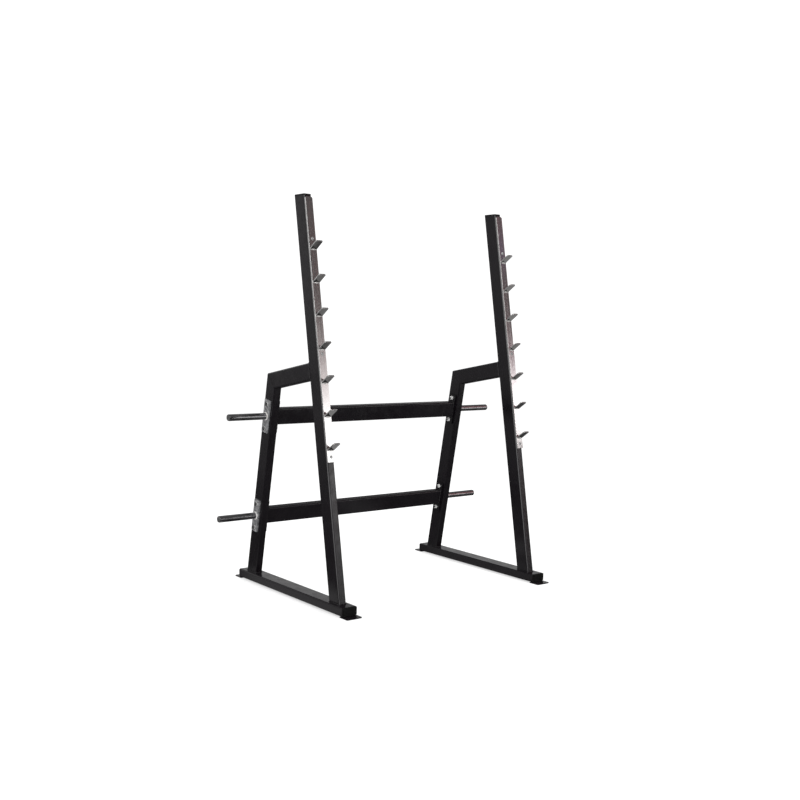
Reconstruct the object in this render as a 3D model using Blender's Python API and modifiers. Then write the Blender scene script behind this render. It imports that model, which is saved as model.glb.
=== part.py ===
# Squat rack with two welded side frames, fixed bar hooks and four plate storage pegs.
#
# Each side frame is a base tube, a front upright that leans back, a rear upright that leans
# forward and a link tube between them. A flat steel bar with seven fixed hooks is screwed to
# the front of each front upright as its rail. Two crossbeams with end flanges join the frames,
# and each through-bolt also holds the plate of a weight peg on the outer side.
#
# Units are metres. +X runs from the left frame to the right one, -Y is the hook side, +Z is up,
# and the origin is on the floor, in the middle of the footprint.

from math import asin, cos, pi, radians, sin, tan

import bmesh
import bpy
from mathutils import Matrix, Vector

# Overall sizes
CLEAR_WIDTH = 1.120            # between the inner faces of the two side frames
TOTAL_HEIGHT = 1.850           # floor to the top of the upright caps
BASE_LENGTH = 0.900            # base tube with its two end caps

# Rectangular tube stock, used for every tube of the frame
TUBE_DEPTH = 0.080             # long side of the section
TUBE_WIDTH = 0.040             # short side of the section
TUBE_WALL = 0.003
TUBE_BEND = 0.004              # corner radius of the hollow

# Gap kept between pieces that touch, and play round bolts, screws and plugs
GAP = 0.0003
HOLE_PLAY = 0.0005
PLUG_PLAY = 0.0004

# Foot plates welded under the ends of the base tubes
FOOT_THICKNESS = 0.005
FOOT_OVERHANG = 0.041          # how far a plate stands out past the end of the base
FOOT_LAP = 0.018               # how far it reaches under the tube
FOOT_CORNER = 0.006
ANCHOR_HOLE = 0.011            # hole for a floor anchor
ANCHOR_SETBACK = 0.022         # hole centre from the free edge of the plate

# Uprights and link
FRONT_LEAN = radians(10.3)     # the front upright leans back, and the link is square to it
REAR_LEAN = radians(10.15)     # the rear upright leans forward
FRONT_SETBACK = 0.052          # front end of the base to the front face of the front upright
REAR_SETBACK = 0.0425          # rear end of the base to the rear face of the rear upright
REAR_CORNER_HEIGHT = 1.033     # height of the outer corner where rear upright and link meet

# Plastic end caps
BASE_CAP_THICKNESS = 0.003
UPRIGHT_CAP_THICKNESS = 0.006
CAP_PLUG_LENGTH = 0.018
CAP_EDGE = 0.0012              # rounding of a cap's outer edge

# Hook rails, flat bars on the front uprights
RAIL_WIDTH = 0.038
RAIL_THICKNESS = 0.008
RAIL_CORNER = 0.008            # rounding of the two corners at the top
RAIL_EDGE = 0.001              # rounding of the edges round the front face
RAIL_TOP_DROP = 0.015          # upright cap top to rail top, along the upright
RAIL_TAIL = 0.052              # rail end below the lowest hook

# Fixed hooks, welded plates that rise outward from the rail
HOOK_COUNT = 7
HOOK_PITCH = 0.150
HOOK_WIDTH = 0.036
HOOK_THICKNESS = 0.006
HOOK_REACH = 0.056             # rail face to hook tip, square to the rail
HOOK_RISE = radians(23.5)      # slope above the square to the rail
HOOK_EDGE = 0.0015             # rounding across the tip and above the root
FIRST_HOOK_DROP = 0.254        # upright cap top to the underside of the top hook at the rail

# Button head screws that hold the rail
SCREW_DIAMETER = 0.008
SCREW_HEAD_DIAMETER = 0.015
SCREW_HEAD_HEIGHT = 0.0045
SCREW_GRIP = 0.010             # thread behind the front wall of the upright
TOP_SCREW_RISE = 0.048         # above the first hook
MIDDLE_SCREW_DROP = 0.019      # below the middle hook
BOTTOM_SCREW_DROP = 0.028      # below the last hook

# Crossbeams between the rear uprights, turned to their lean
BEAM_HEIGHTS = {"lower": 0.334, "upper": 0.828}
FLANGE_THICKNESS = 0.008
FLANGE_VENT = 0.020            # drain hole in the middle of a flange

# Weight pegs, a tube welded to a bolted plate
PEG_DIAMETER = 0.032
PEG_WALL = 0.0032
PEG_LENGTH = 0.203             # plate face to the end of the cap
PEG_PLATE_THICKNESS = 0.008
JOINT_PLATE_WIDTH = 0.050      # peg plates and beam flanges share this outline
JOINT_PLATE_END = 0.020        # bolt centre to the end of the plate
JOINT_PLATE_CORNER = 0.004
PEG_CAP_THICKNESS = 0.003
PEG_CAP_PLUG = 0.016
PEG_CAP_EDGE = 0.001

# Through-bolts of the beam joints
BOLT_DIAMETER = 0.010
BOLT_BEAM_GAP = 0.020          # edge of the crossbeam to a bolt centre, along the upright
BOLT_HEAD_ACROSS = 0.016       # across the flats of head and nut
BOLT_HEAD_HEIGHT = 0.0064
BOLT_NUT_HEIGHT = 0.0084
BOLT_TIP = 0.004               # thread that stands past the nut
BOLT_SINK = 0.0005             # how far head and nut reach into their washers
WASHER_DIAMETER = 0.020
WASHER_THICKNESS = 0.002

# Facets of round pieces and rounded corners
PEG_SIDES = 32
BOLT_SIDES = 16
HOLE_SIDES = 16
HEXAGON = 6
DOME_STEPS = 3
CORNER_SEGMENTS = 3
EDGE_SEGMENTS = 2

# Angle up to which neighbouring facets are shaded as one round surface, angle up to which two
# directions count as parallel, and the distance at which the seam of a turned piece closes
SMOOTH_ANGLE = radians(35)
ALIGNED_ANGLE = radians(2.5)
SEAM_DISTANCE = 0.00001

# Colour, roughness and metallic value of each finish
FINISHES = {
    "black_powder_coat": ((0.018, 0.018, 0.020), 0.34, 0.0),
    "brushed_steel": ((0.56, 0.56, 0.57), 0.30, 1.0),
    "polished_steel": ((0.50, 0.50, 0.52), 0.16, 1.0),
    "zinc_fastener": ((0.66, 0.66, 0.66), 0.30, 1.0),
    "black_plastic": ((0.014, 0.014, 0.015), 0.48, 0.0),
}

# Heights and positions that follow from the sizes above
BASE_TOP = FOOT_THICKNESS + GAP + TUBE_WIDTH
BASE_HALF = BASE_LENGTH / 2
FRAME_CENTRE = (CLEAR_WIDTH + TUBE_WIDTH) / 2
FRAME_HALF = TUBE_WIDTH / 2
HALF_DEPTH = TUBE_DEPTH / 2
TUBE_CORNER = TUBE_BEND + TUBE_WALL
BOLT_OFFSET = HALF_DEPTH + BOLT_BEAM_GAP
BOLT_OFFSETS = {"top": BOLT_OFFSET, "bottom": -BOLT_OFFSET}
JOINT_PLATE_LENGTH = 2 * (BOLT_OFFSET + JOINT_PLATE_END)
UPRIGHT_LENGTH = (TOTAL_HEIGHT - BASE_TOP) / cos(FRONT_LEAN)
SIDES = {"left": -1, "right": 1}


def clear_scene():
    """Empty the scene, so that the model is all that is in it."""
    for item in list(bpy.data.objects):
        bpy.data.objects.remove(item, do_unlink=True)


def new_collection(name):
    """Return a new collection in the scene."""
    collection = bpy.data.collections.new(name)
    bpy.context.scene.collection.children.link(collection)
    return collection


def finish(name):
    """Return the material of one finish, made once."""
    if name in bpy.data.materials:
        return bpy.data.materials[name]
    colour, roughness, metallic = FINISHES[name]
    material = bpy.data.materials.new(name)
    material.use_nodes = True
    shader = material.node_tree.nodes["Principled BSDF"]
    shader.inputs["Base Color"].default_value = (*colour, 1.0)
    shader.inputs["Roughness"].default_value = roughness
    shader.inputs["Metallic"].default_value = metallic
    material.diffuse_color = (*colour, 1.0)
    return material


def add_object(name, bm, matrix, slot=None):
    """Turn a bmesh into a named object at its place, in the rack or among the cutters."""
    bmesh.ops.recalc_face_normals(bm, faces=bm.faces)
    mesh = bpy.data.meshes.new(name)
    bm.to_mesh(mesh)
    bm.free()
    piece = bpy.data.objects.new(name, mesh)
    piece.matrix_world = matrix
    if slot:
        mesh.materials.append(finish(slot))
        rack.objects.link(piece)
    else:
        piece.hide_render = True
        piece.display_type = "WIRE"
        cutters.objects.link(piece)
    return piece


def bake_modifiers(piece):
    """Replace an object's mesh by what its modifiers make of it."""
    graph = bpy.context.evaluated_depsgraph_get()
    mesh = bpy.data.meshes.new_from_object(piece.evaluated_get(graph))
    piece.modifiers.clear()
    piece.data = mesh


def boolean(piece, other, operation="DIFFERENCE"):
    """Cut or join a piece with the solid of another object."""
    modifier = piece.modifiers.new(other.name, "BOOLEAN")
    modifier.operation = operation
    modifier.solver = "EXACT"
    modifier.object = other


def shade_round(piece):
    """Shade the round stretches of a piece smooth."""
    piece.data.shade_smooth()
    piece.data.set_sharp_from_angle(angle=SMOOTH_ANGLE)


def thicken(piece, wall):
    """Give an open surface a wall on its inner side."""
    shell = piece.modifiers.new("Wall", "SOLIDIFY")
    shell.thickness = wall
    shell.offset = -1.0
    shell.use_even_offset = True
    bpy.context.view_layer.update()
    bake_modifiers(piece)


def box_mesh(size, centre=(0.0, 0.0, 0.0)):
    """Return a box of the given size as a bmesh."""
    bm = bmesh.new()
    place = Matrix.Translation(centre) @ Matrix.Diagonal((*size, 1.0))
    bmesh.ops.create_cube(bm, size=1.0, matrix=place)
    return bm


def edges_along(bm, axis):
    """Return the edges of a bmesh that run along one local axis."""
    return [e for e in bm.edges
            if abs((e.verts[1].co - e.verts[0].co).normalized()[axis]) > cos(ALIGNED_ANGLE)]


def round_edges(bm, edges, radius, segments):
    """Round the given edges of a bmesh."""
    bmesh.ops.bevel(bm, geom=edges, offset=radius, offset_type="OFFSET", segments=segments,
                    profile=0.5, affect="EDGES", clamp_overlap=True)


def faces_facing(bm, axis, sign):
    """Return the faces whose normal points along one local axis, in the sense of sign."""
    bm.normal_update()
    return [f for f in bm.faces if f.normal[axis] * sign > cos(ALIGNED_ANGLE)]


def turned_object(name, profile, sides, matrix, slot):
    """Make a solid turned round local Z from a profile of (radius, height) from top to bottom."""
    bm = bmesh.new()
    ring = [bm.verts.new((radius, 0.0, height)) for radius, height in profile]
    for pair in zip(ring, ring[1:]):
        bm.edges.new(pair)
    piece = add_object(name, bm, matrix, slot)
    turn = piece.modifiers.new("Turn", "SCREW")
    turn.steps = sides
    turn.render_steps = sides
    turn.use_merge_vertices = True
    turn.merge_threshold = SEAM_DISTANCE
    bpy.context.view_layer.update()
    bake_modifiers(piece)
    shade_round(piece)
    return piece


def add_cylinder(bm, place, diameter, start, length, sides):
    """Add a closed cylinder round local Z of a place, from the height start on."""
    bmesh.ops.create_cone(bm, cap_ends=True, segments=sides, radius1=diameter / 2,
                          radius2=diameter / 2, depth=length,
                          matrix=place @ Matrix.Translation((0, 0, start + length / 2)))


def along_x(sense):
    """Return a turn that lays local Z along world X, in the sense given."""
    return Matrix.Rotation(sense * pi / 2, 4, "Y")


def slide_end(piece, verts, point, normal):
    """Slide vertices along a tube's local Z until they lie on a plane given in world space."""
    place = piece.matrix_world
    axis = place.to_3x3() @ Vector((0, 0, 1))
    for vert in verts:
        distance = normal.dot(point - place @ vert.co) / normal.dot(axis)
        vert.co.z += distance


def rectangular_tube(name, size, length, matrix, cuts):
    """Make a hollow tube along local Z whose ends lie on the two planes in cuts.

    size is the section along local X and Y. A cut is a point and a normal in world space.
    """
    bm = box_mesh((*size, length), (0, 0, length / 2))
    round_edges(bm, edges_along(bm, 2), TUBE_CORNER, CORNER_SEGMENTS)
    ends = faces_facing(bm, 2, 1) + faces_facing(bm, 2, -1)
    bmesh.ops.delete(bm, geom=ends, context="FACES_ONLY")
    piece = add_object(name, bm, matrix, "black_powder_coat")
    thicken(piece, TUBE_WALL)
    low = [v for v in piece.data.vertices if v.co.z < length / 2]
    high = [v for v in piece.data.vertices if v.co.z > length / 2]
    for verts, (point, normal) in zip((low, high), cuts):
        slide_end(piece, verts, point, normal)
    shade_round(piece)
    return piece


def cap_mesh(size, thickness, slope=0.0):
    """Return a tube cap: a flange on top of z = 0 and a plug below it that follows the slope."""
    bm = box_mesh((*size, thickness), (0, 0, thickness / 2))
    round_edges(bm, edges_along(bm, 2), TUBE_CORNER, CORNER_SEGMENTS)
    top = faces_facing(bm, 2, 1)[0]
    round_edges(bm, list(top.edges), CAP_EDGE, EDGE_SEGMENTS)
    under = faces_facing(bm, 2, -1)
    bmesh.ops.inset_region(bm, faces=under, thickness=TUBE_WALL + PLUG_PLAY, use_even_offset=True)
    moved = bmesh.ops.extrude_face_region(bm, geom=under)
    verts = [item for item in moved["geom"] if isinstance(item, bmesh.types.BMVert)]
    bmesh.ops.translate(bm, verts=verts, vec=(0, -slope * CAP_PLUG_LENGTH, -CAP_PLUG_LENGTH))
    bmesh.ops.delete(bm, geom=under, context="FACES_ONLY")
    return bm


def joint_plate_mesh(thickness):
    """Return a joint plate from z = 0 up, its length along local X and its width along local Y."""
    bm = box_mesh((JOINT_PLATE_LENGTH, JOINT_PLATE_WIDTH, thickness), (0, 0, thickness / 2))
    round_edges(bm, edges_along(bm, 2), JOINT_PLATE_CORNER, CORNER_SEGMENTS)
    return bm


def frame_matrix(x, y, z, lean):
    """Return the place of a leaning tube: local Z along its axis and local Y across, to the rear."""
    return Matrix.Translation((x, y, z)) @ Matrix.Rotation(lean, 4, "X")


def front_place(side):
    """Place of a front upright: origin where its front face meets the top of the base."""
    y = -BASE_HALF + FRONT_SETBACK
    return frame_matrix(SIDES[side] * FRAME_CENTRE, y, BASE_TOP, -FRONT_LEAN)


def rear_place(side):
    """Place of a rear upright: origin where its rear face meets the top of the base."""
    y = BASE_HALF - REAR_SETBACK
    return frame_matrix(SIDES[side] * FRAME_CENTRE, y, BASE_TOP, REAR_LEAN)


def centred_tube(place, offset):
    """Move a place across the tube, from the face that it is set by to the tube's middle."""
    return place @ Matrix.Translation((0, offset, 0))


def meet(point_a, way_a, point_b, way_b):
    """Return where two lines in the plane of a side frame cross."""
    across = way_a.y * way_b.z - way_a.z * way_b.y
    gap = point_b - point_a
    return point_a + way_a * ((gap.y * way_b.z - gap.z * way_b.y) / across)


def link_lines(side):
    """Return the outer corner, the inner corner and the direction of the link of one frame."""
    rear = rear_place(side)
    up = rear.to_3x3() @ Vector((0, 0, 1))
    forward = -(front_place(side).to_3x3() @ Vector((0, 1, 0)))
    down = -(front_place(side).to_3x3() @ Vector((0, 0, 1)))
    outer = rear.translation + up * (REAR_CORNER_HEIGHT - BASE_TOP) / up.z
    inner_rear = rear @ Vector((0, -TUBE_DEPTH, 0))
    inner = meet(outer + down * TUBE_DEPTH, forward, inner_rear, up)
    return outer, inner, forward


def mitre_plane(side):
    """Return the middle and the forward normal of the mitre between rear upright and link."""
    outer, inner, forward = link_lines(side)
    seam = (outer - inner).normalized()
    return (outer + inner) / 2, Vector((0, -seam.z, seam.y))


def hook_root(index):
    """Height of a hook's underside at the rail, along the front upright, from the top hook on."""
    return UPRIGHT_LENGTH - FIRST_HOOK_DROP - index * HOOK_PITCH


def rail_span():
    """Lower and upper end of the hook rail along the front upright."""
    return hook_root(HOOK_COUNT - 1) - RAIL_TAIL, UPRIGHT_LENGTH - RAIL_TOP_DROP


def rail_screw_heights():
    """Heights of the three rail screws along the front upright."""
    return (hook_root(0) + TOP_SCREW_RISE,
            hook_root(HOOK_COUNT // 2) - MIDDLE_SCREW_DROP,
            hook_root(HOOK_COUNT - 1) - BOTTOM_SCREW_DROP)


def joint_place(side, level):
    """Place of a beam joint: on the middle of the rear upright, at the beam's height."""
    middle = centred_tube(rear_place(side), -HALF_DEPTH)
    climb = (BEAM_HEIGHTS[level] - middle.translation.z) / cos(REAR_LEAN)
    return middle @ Matrix.Translation((0, 0, climb))


def drill(piece, holes):
    """Drill round holes, each given as a place, a diameter, a start and a length along local Z."""
    bm = bmesh.new()
    for place, diameter, start, length in holes:
        add_cylinder(bm, place, diameter, start, length, HOLE_SIDES)
    boolean(piece, add_object(f"cutter_holes_{piece.name}", bm, Matrix.Identity(4)))


def joint_holes(place):
    """Return the two bolt holes of a joint plate, whose length runs along local X of the place."""
    reach = 2 * max(PEG_PLATE_THICKNESS, FLANGE_THICKNESS)
    return [(place @ Matrix.Translation((offset, 0, 0)), BOLT_DIAMETER + 2 * HOLE_PLAY, -reach, 2 * reach)
            for offset in BOLT_OFFSETS.values()]


def make_base(side):
    """Base tube of one frame with its end caps and the two foot plates."""
    x = SIDES[side] * FRAME_CENTRE
    middle = FOOT_THICKNESS + GAP + TUBE_WIDTH / 2
    half = BASE_HALF - BASE_CAP_THICKNESS - GAP
    lie = Matrix.Translation((x, half, middle)) @ Matrix.Rotation(pi / 2, 4, "X")
    cuts = ((Vector((x, half, middle)), Vector((0, 1, 0))),
            (Vector((x, -half, middle)), Vector((0, 1, 0))))
    rectangular_tube(f"base_tube_{side}", (TUBE_DEPTH, TUBE_WIDTH), 2 * half, lie, cuts)
    for end, sense in (("front", -1), ("rear", 1)):
        turn = Matrix.Rotation(-sense * pi / 2, 4, "X")
        place = Matrix.Translation((x, sense * (half + GAP), middle)) @ turn
        bm = cap_mesh((TUBE_DEPTH, TUBE_WIDTH), BASE_CAP_THICKNESS)
        cap = add_object(f"base_cap_{end}_{side}", bm, place, "black_plastic")
        shade_round(cap)
        make_foot_plate(side, end, sense)


def make_foot_plate(side, end, sense):
    """Flat plate under one end of a base tube, with a hole for a floor anchor."""
    x = SIDES[side] * FRAME_CENTRE
    length = FOOT_LAP + FOOT_OVERHANG
    tip = BASE_HALF + FOOT_OVERHANG
    bm = box_mesh((TUBE_DEPTH, length, FOOT_THICKNESS), (0, 0, FOOT_THICKNESS / 2))
    outer = [e for e in edges_along(bm, 2) if e.verts[0].co.y * sense > 0]
    round_edges(bm, outer, FOOT_CORNER, CORNER_SEGMENTS)
    place = Matrix.Translation((x, sense * (tip - length / 2), 0))
    plate = add_object(f"foot_plate_{end}_{side}", bm, place, "black_powder_coat")
    hole = Matrix.Translation((x, sense * (tip - ANCHOR_SETBACK), 0))
    drill(plate, [(hole, ANCHOR_HOLE, -FOOT_THICKNESS, 3 * FOOT_THICKNESS)])


def make_front_upright(side):
    """Front upright with its cap, drilled for the rail screws."""
    place = front_place(side)
    floor = Vector((0, 0, BASE_TOP + GAP))
    roof = Vector((0, 0, TOTAL_HEIGHT - UPRIGHT_CAP_THICKNESS - GAP))
    level = Vector((0, 0, 1))
    tube = rectangular_tube(f"front_upright_{side}", (TUBE_WIDTH, TUBE_DEPTH), UPRIGHT_LENGTH,
                            centred_tube(place, HALF_DEPTH), ((floor, level), (roof, level)))
    holes = []
    for height in rail_screw_heights():
        hole = place @ Matrix.Translation((0, 0, height)) @ Matrix.Rotation(-pi / 2, 4, "X")
        holes.append((hole, SCREW_DIAMETER + 2 * HOLE_PLAY, -TUBE_WALL, 3 * TUBE_WALL))
    drill(tube, holes)
    make_upright_cap(side, place)


def make_upright_cap(side, place):
    """Level plastic cap on the sloping top of a front upright."""
    seat = TOTAL_HEIGHT - UPRIGHT_CAP_THICKNESS
    climb = (seat - BASE_TOP) / cos(FRONT_LEAN)
    front = place @ Vector((0, 0, climb))
    depth = TUBE_DEPTH / cos(FRONT_LEAN)
    centre = Matrix.Translation((place.translation.x, front.y + depth / 2, seat))
    bm = cap_mesh((TUBE_WIDTH, depth), UPRIGHT_CAP_THICKNESS, tan(FRONT_LEAN))
    cap = add_object(f"upright_cap_{side}", bm, centre, "black_plastic")
    shade_round(cap)


def make_rear_upright(side):
    """Rear upright, mitred to the link at its top and drilled for the through-bolts."""
    place = rear_place(side)
    middle, normal = mitre_plane(side)
    floor = Vector((0, 0, BASE_TOP + GAP))
    length = (REAR_CORNER_HEIGHT - BASE_TOP) / cos(REAR_LEAN)
    tube = rectangular_tube(f"rear_upright_{side}", (TUBE_WIDTH, TUBE_DEPTH), length,
                            centred_tube(place, -HALF_DEPTH),
                            ((floor, Vector((0, 0, 1))), (middle - normal * GAP / 2, normal)))
    holes = []
    for level in BEAM_HEIGHTS:
        for offset in BOLT_OFFSETS.values():
            hole = joint_place(side, level) @ Matrix.Translation((0, 0, offset)) @ along_x(1)
            holes.append((hole, BOLT_DIAMETER + 2 * HOLE_PLAY, -TUBE_WIDTH, 2 * TUBE_WIDTH))
    drill(tube, holes)


def make_link(side):
    """Slanted link tube from the mitre to the rear face of the front upright."""
    outer, _, forward = link_lines(side)
    middle, normal = mitre_plane(side)
    front = front_place(side)
    face = front @ Vector((0, TUBE_DEPTH, 0)) - forward * GAP
    top = meet(outer, forward, face, front.to_3x3() @ Vector((0, 0, 1)))
    length = (top - outer).length
    turn = front.to_3x3().to_4x4() @ Matrix.Rotation(pi / 2, 4, "X")
    down = front.to_3x3() @ Vector((0, 0, -1))
    start = Matrix.Translation(outer + down * HALF_DEPTH) @ turn
    cuts = ((middle + normal * GAP / 2, normal), (face, forward))
    rectangular_tube(f"link_tube_{side}", (TUBE_WIDTH, TUBE_DEPTH), length, start, cuts)


def make_rail(side):
    """Flat hook rail on the front face of a front upright, with its three screws."""
    low, high = rail_span()
    middle = (low + high) / 2
    place = front_place(side) @ Matrix.Translation((0, -GAP, 0))
    bm = box_mesh((RAIL_WIDTH, RAIL_THICKNESS, high - low), (0, -RAIL_THICKNESS / 2, middle))
    corners = [e for e in edges_along(bm, 1) if e.verts[0].co.z > middle]
    round_edges(bm, corners, RAIL_CORNER, CORNER_SEGMENTS)
    face = faces_facing(bm, 1, -1)[0]
    round_edges(bm, list(face.edges), RAIL_EDGE, EDGE_SEGMENTS)
    rail = add_object(f"hook_rail_{side}", bm, place, "brushed_steel")
    shade_round(rail)
    holes = []
    for label, height in zip(("top", "middle", "bottom"), rail_screw_heights()):
        seat = place @ Matrix.Translation((0, -RAIL_THICKNESS, height)) @ Matrix.Rotation(pi / 2, 4, "X")
        holes.append((seat, SCREW_DIAMETER + 2 * HOLE_PLAY, -2 * RAIL_THICKNESS, 3 * RAIL_THICKNESS))
        make_rail_screw(f"rail_screw_{label}_{side}", seat)
    drill(rail, holes)


def make_rail_screw(name, seat):
    """Button head screw through the rail, its head on local z = GAP."""
    radius = SCREW_HEAD_DIAMETER / 2
    sphere = (radius ** 2 + SCREW_HEAD_HEIGHT ** 2) / (2 * SCREW_HEAD_HEIGHT)
    sweep = asin(radius / sphere)
    dome = []
    for step in range(DOME_STEPS + 1):
        angle = sweep * step / DOME_STEPS
        dome.append((sphere * sin(angle), GAP + SCREW_HEAD_HEIGHT - sphere * (1 - cos(angle))))
    shank = SCREW_DIAMETER / 2
    tail = -(RAIL_THICKNESS + TUBE_WALL + SCREW_GRIP)
    profile = dome + [(shank, GAP), (shank, tail), (0.0, tail)]
    turned_object(name, profile, BOLT_SIDES, seat, "zinc_fastener")


def make_hooks(side):
    """Seven fixed hooks, flat plates that rise away from the rail."""
    place = front_place(side)
    root = GAP + RAIL_THICKNESS + GAP
    length = HOOK_REACH / cos(HOOK_RISE)
    for index in range(HOOK_COUNT):
        bm = box_mesh((HOOK_WIDTH, length, HOOK_THICKNESS), (0, -length / 2, HOOK_THICKNESS / 2))
        for vert in bm.verts:
            if vert.co.y > -length / 2:
                vert.co.y = -vert.co.z * tan(HOOK_RISE)
        free = [e for e in edges_along(bm, 0)
                if e.verts[0].co.y < -length / 2 or e.verts[0].co.z > HOOK_THICKNESS / 2]
        round_edges(bm, free, HOOK_EDGE, EDGE_SEGMENTS)
        seat = place @ Matrix.Translation((0, -root, hook_root(index)))
        tilt = Matrix.Rotation(-HOOK_RISE, 4, "X")
        hook = add_object(f"hook_{index + 1}_{side}", bm, seat @ tilt, "brushed_steel")
        shade_round(hook)


def make_weight_peg(side, level):
    """Weight peg: a tube welded to the plate that is bolted to a rear upright."""
    sense = SIDES[side]
    face = FRAME_HALF + GAP
    place = joint_place(side, level) @ Matrix.Translation((sense * face, 0, 0)) @ along_x(sense)
    bm = joint_plate_mesh(PEG_PLATE_THICKNESS)
    peg = add_object(f"weight_peg_{level}_{side}", bm, place, "polished_steel")
    tube_length = PEG_PLATE_THICKNESS / 2 + PEG_LENGTH - PEG_CAP_THICKNESS - GAP
    start = PEG_PLATE_THICKNESS / 2
    bm = bmesh.new()
    add_cylinder(bm, place, PEG_DIAMETER, start, tube_length, PEG_SIDES)
    pipe = add_object(f"cutter_pipe_{level}_{side}", bm, Matrix.Identity(4))
    boolean(peg, pipe, "UNION")
    bore = (place, PEG_DIAMETER - 2 * PEG_WALL, PEG_PLATE_THICKNESS, PEG_LENGTH)
    drill(peg, [bore] + joint_holes(place))
    shade_round(peg)
    make_peg_cap(side, level, place @ Matrix.Translation((0, 0, start + tube_length + GAP)))


def make_peg_cap(side, level, place):
    """Plastic plug in the free end of a weight peg."""
    plug = PEG_DIAMETER / 2 - PEG_WALL - PLUG_PLAY
    rim = PEG_DIAMETER / 2
    profile = [(0.0, PEG_CAP_THICKNESS), (rim - PEG_CAP_EDGE, PEG_CAP_THICKNESS),
               (rim, PEG_CAP_THICKNESS - PEG_CAP_EDGE), (rim, 0.0), (plug, 0.0),
               (plug, -PEG_CAP_PLUG), (0.0, -PEG_CAP_PLUG)]
    turned_object(f"peg_cap_{level}_{side}", profile, PEG_SIDES, place, "black_plastic")


def make_crossbeam(level):
    """Crossbeam between the rear uprights, with a welded flange at each end."""
    left = joint_place("left", level)
    lie = Matrix.Translation((-left.translation.x, 0, 0)) @ left @ along_x(1)
    reach = CLEAR_WIDTH / 2 - GAP
    inside = reach - FLANGE_THICKNESS / 2
    start = lie @ Matrix.Translation((0, 0, -inside))
    cuts = ((Vector((-inside, 0, 0)), Vector((1, 0, 0))), (Vector((inside, 0, 0)), Vector((1, 0, 0))))
    beam = rectangular_tube(f"crossbeam_{level}", (TUBE_DEPTH, TUBE_WIDTH), 2 * inside, start, cuts)
    holes = []
    for side, sense in SIDES.items():
        face = joint_place(side, level) @ Matrix.Translation((-sense * (FRAME_HALF + GAP), 0, 0))
        place = face @ along_x(-sense)
        bm = joint_plate_mesh(FLANGE_THICKNESS)
        flange = add_object(f"cutter_flange_{level}_{side}", bm, place)
        boolean(beam, flange, "UNION")
        vent = (place, FLANGE_VENT, -FLANGE_THICKNESS, 3 * FLANGE_THICKNESS)
        holes += [vent] + joint_holes(place)
    drill(beam, holes)
    shade_round(beam)


def make_through_bolt(side, level, position, offset):
    """Hexagon bolt through peg plate, upright and flange, with washers and nut."""
    sense = SIDES[side]
    place = joint_place(side, level) @ Matrix.Translation((0, 0, offset)) @ along_x(sense)
    outer = FRAME_HALF + GAP + PEG_PLATE_THICKNESS + GAP
    inner = -(FRAME_HALF + GAP + FLANGE_THICKNESS + GAP)
    head = outer + WASHER_THICKNESS
    nut = inner - WASHER_THICKNESS
    tip = nut - BOLT_NUT_HEIGHT - BOLT_TIP
    shank = BOLT_DIAMETER / 2
    washer = WASHER_DIAMETER / 2
    core = head + BOLT_HEAD_HEIGHT / 2
    profile = [(0.0, core), (shank, core), (shank, head), (washer, head), (washer, outer),
               (shank, outer), (shank, inner), (washer, inner), (washer, nut), (shank, nut),
               (shank, tip), (0.0, tip)]
    name = f"bolt_{level}_{position}_{side}"
    bolt = turned_object(name, profile, BOLT_SIDES, place, "zinc_fastener")
    corner = BOLT_HEAD_ACROSS / cos(pi / 6)
    bm = bmesh.new()
    add_cylinder(bm, place, corner, head - BOLT_SINK, BOLT_HEAD_HEIGHT + BOLT_SINK, HEXAGON)
    add_cylinder(bm, place, corner, nut - BOLT_NUT_HEIGHT, BOLT_NUT_HEIGHT + BOLT_SINK, HEXAGON)
    boolean(bolt, add_object(f"cutter_hexagons_{name}", bm, Matrix.Identity(4)), "UNION")
    shade_round(bolt)


def main():
    """Build the whole rack."""
    for side in SIDES:
        make_base(side)
        make_front_upright(side)
        make_rear_upright(side)
        make_link(side)
        make_rail(side)
        make_hooks(side)
        for level in BEAM_HEIGHTS:
            make_weight_peg(side, level)
            for position, offset in BOLT_OFFSETS.items():
                make_through_bolt(side, level, position, offset)
    for level in BEAM_HEIGHTS:
        make_crossbeam(level)


clear_scene()
rack = new_collection("squat_rack")
cutters = new_collection("cutters")
main()
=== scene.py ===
# Looks of the squat rack: its finishes, worked edges, welds and fasteners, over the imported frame.
#
# Units are metres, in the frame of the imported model: +X from the left side frame to the right one,
# -Y towards the hooks, +Z up, with the origin on the floor in the middle of the footprint.

from math import cos, pi, radians, sin

import bpy
from mathutils import Matrix, Vector


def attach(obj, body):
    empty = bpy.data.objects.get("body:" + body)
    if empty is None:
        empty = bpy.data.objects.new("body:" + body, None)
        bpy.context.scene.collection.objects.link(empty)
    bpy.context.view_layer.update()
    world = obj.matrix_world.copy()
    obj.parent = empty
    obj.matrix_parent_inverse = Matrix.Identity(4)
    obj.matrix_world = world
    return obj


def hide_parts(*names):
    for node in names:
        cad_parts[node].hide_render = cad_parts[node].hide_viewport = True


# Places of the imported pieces
FRAME_CENTRE = 0.580
BASE_TOP = 0.0453
TOP = 1.850
FRONT_LEAN = radians(10.3)
REAR_LEAN = radians(10.15)
FRONT_FACE_Y = -0.398
REAR_FACE_Y = 0.4075
REAR_CORNER_HEIGHT = 1.033
BEAM_HEIGHTS = {"lower": 0.334, "upper": 0.828}
TUBE_DEPTH = 0.080
TUBE_WIDTH = 0.040
TUBE_WALL = 0.003
TUBE_CORNER = 0.007
GAP = 0.0003

# How far edges are rounded off on coated tube, foot plates and plastic caps, and the angles that
# count as an edge to round, as a crease to keep sharp, and as one on the fine threads
TUBE_EDGE = 0.0005
FOOT_EDGE = 0.0006
CAP_EDGE = 0.0002
EDGE_ANGLE = radians(40)
CREASE_ANGLE = radians(38)
THREAD_ANGLE = radians(20)

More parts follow.
